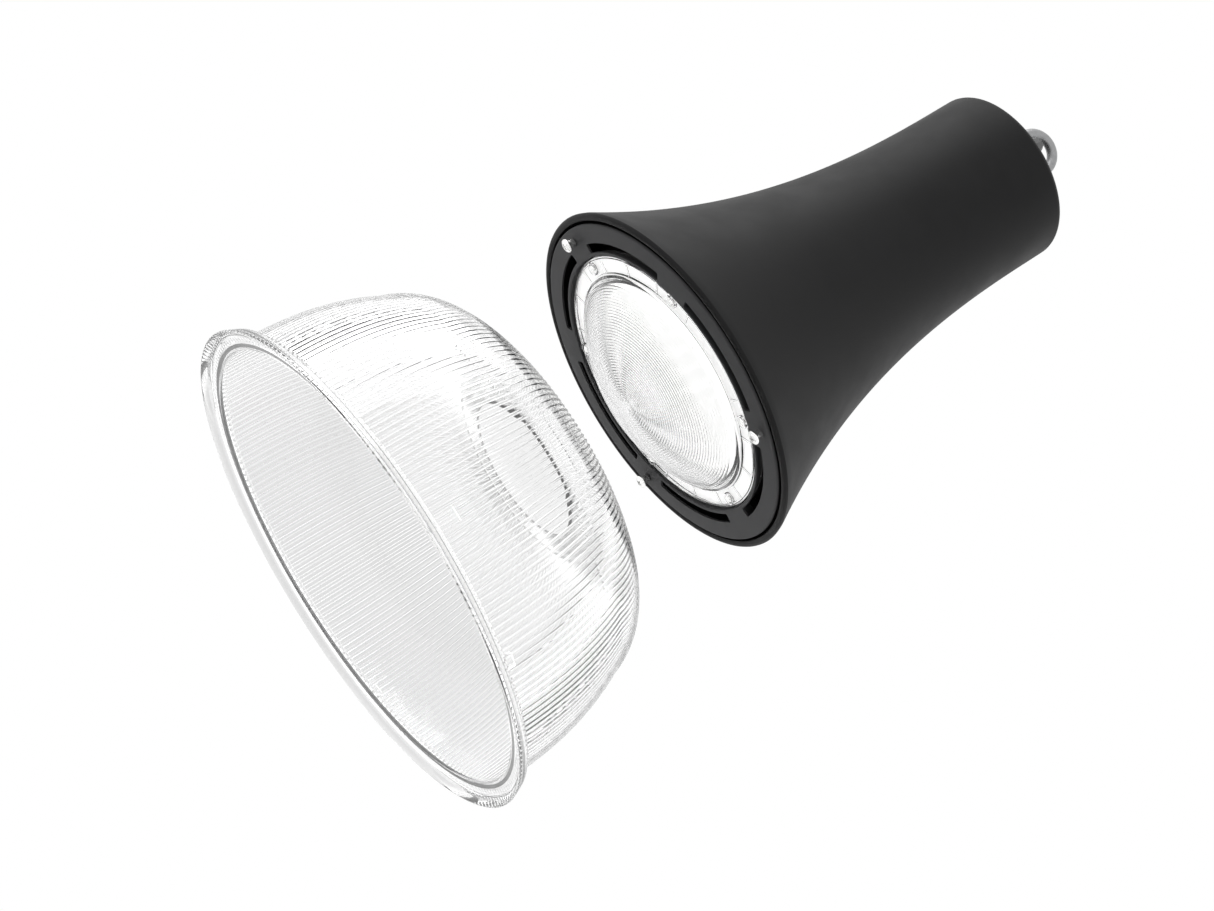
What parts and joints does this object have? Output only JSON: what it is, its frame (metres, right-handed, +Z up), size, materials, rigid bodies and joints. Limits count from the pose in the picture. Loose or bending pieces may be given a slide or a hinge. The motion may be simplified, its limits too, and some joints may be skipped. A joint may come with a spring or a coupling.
{
  "type": "grow lamp",
  "caption": "Hanging grow lamp: flared black bell housing with a domed lens in its face, a lifting eye on top, and a clear bowl reflector pulled off downwards along its axis.",
  "frame": {"origin": "highest point of the hole in the lifting eye, where the lamp hangs from its hook", "axes": "+Z up along the lamp's axis, away from the light; the eye lies in the XZ plane"},
  "size_m": [0.3274, 0.3274, 0.5857],
  "materials": {
    "housing_black": "matte charcoal powder coat",
    "plate_grey": "fine matte grey paint",
    "lens_clear": "clear, finely ridged in circles",
    "reflector_clear": "clear, finely ribbed",
    "screw_steel": "bright plated",
    "eye_steel": "satin",
    "zinc_steel": "zinc plated",
    "sink_aluminium": "as cast",
    "driver_aluminium": "satin",
    "board_white": "white solder mask",
    "black_plastic": "matte",
    "gasket_rubber": "matte",
    "bush_brass": "turned"
  },
  "bodies": {
    "hanger": {"lifting_eye": "eye_steel", "lock_nut": "zinc_steel", "top_washer": "zinc_steel", "inner_washer": "zinc_steel", "inner_nut": "zinc_steel"},
    "lamp": {"bell_housing": "housing_black", "face_plate": "plate_grey", "lens": "lens_clear", "shoulder_screw_1": "screw_steel", "shoulder_screw_2": "screw_steel", "shoulder_screw_3": "screw_steel", "screw_spacer_1": "screw_steel", "screw_spacer_2": "screw_steel", "screw_spacer_3": "screw_steel", "lens_screw_1": "screw_steel", "lens_screw_2": "screw_steel", "lens_screw_3": "screw_steel", "lens_screw_4": "screw_steel", "lens_screw_5": "screw_steel", "lens_screw_6": "screw_steel", "sink_screw_1": "screw_steel", "sink_screw_2": "screw_steel", "sink_screw_3": "screw_steel", "driver_screw_1": "screw_steel", "driver_screw_2": "screw_steel", "bracket_screw": "screw_steel", "heat_sink": "sink_aluminium", "driver_case": "driver_aluminium", "driver_bracket": "driver_aluminium", "led_board": "board_white", "terminal_block": "black_plastic", "gland_body": "black_plastic", "gland_cap": "black_plastic", "gland_nut": "black_plastic", "lens_gasket": "gasket_rubber", "swivel_bush": "bush_brass"},
    "reflector": {"reflector_bowl": "reflector_clear", "mouth_ring": "reflector_clear", "mouth_catch_1": "reflector_clear", "mouth_catch_2": "reflector_clear", "mouth_catch_3": "reflector_clear", "mouth_lug": "reflector_clear"}
  },
  "joints": [
    {"name": "lamp_swivel", "type": "hinge", "parent": "hanger", "child": "lamp", "pos_m": [0, 0, -0.0448], "axis": [0, 0, 1], "range_deg": [-170, 170]},
    {"name": "reflector_slide", "type": "slide", "parent": "lamp", "child": "reflector", "axis": [0, 0, 1], "range_m": [0, 0.0797]}
  ]
}
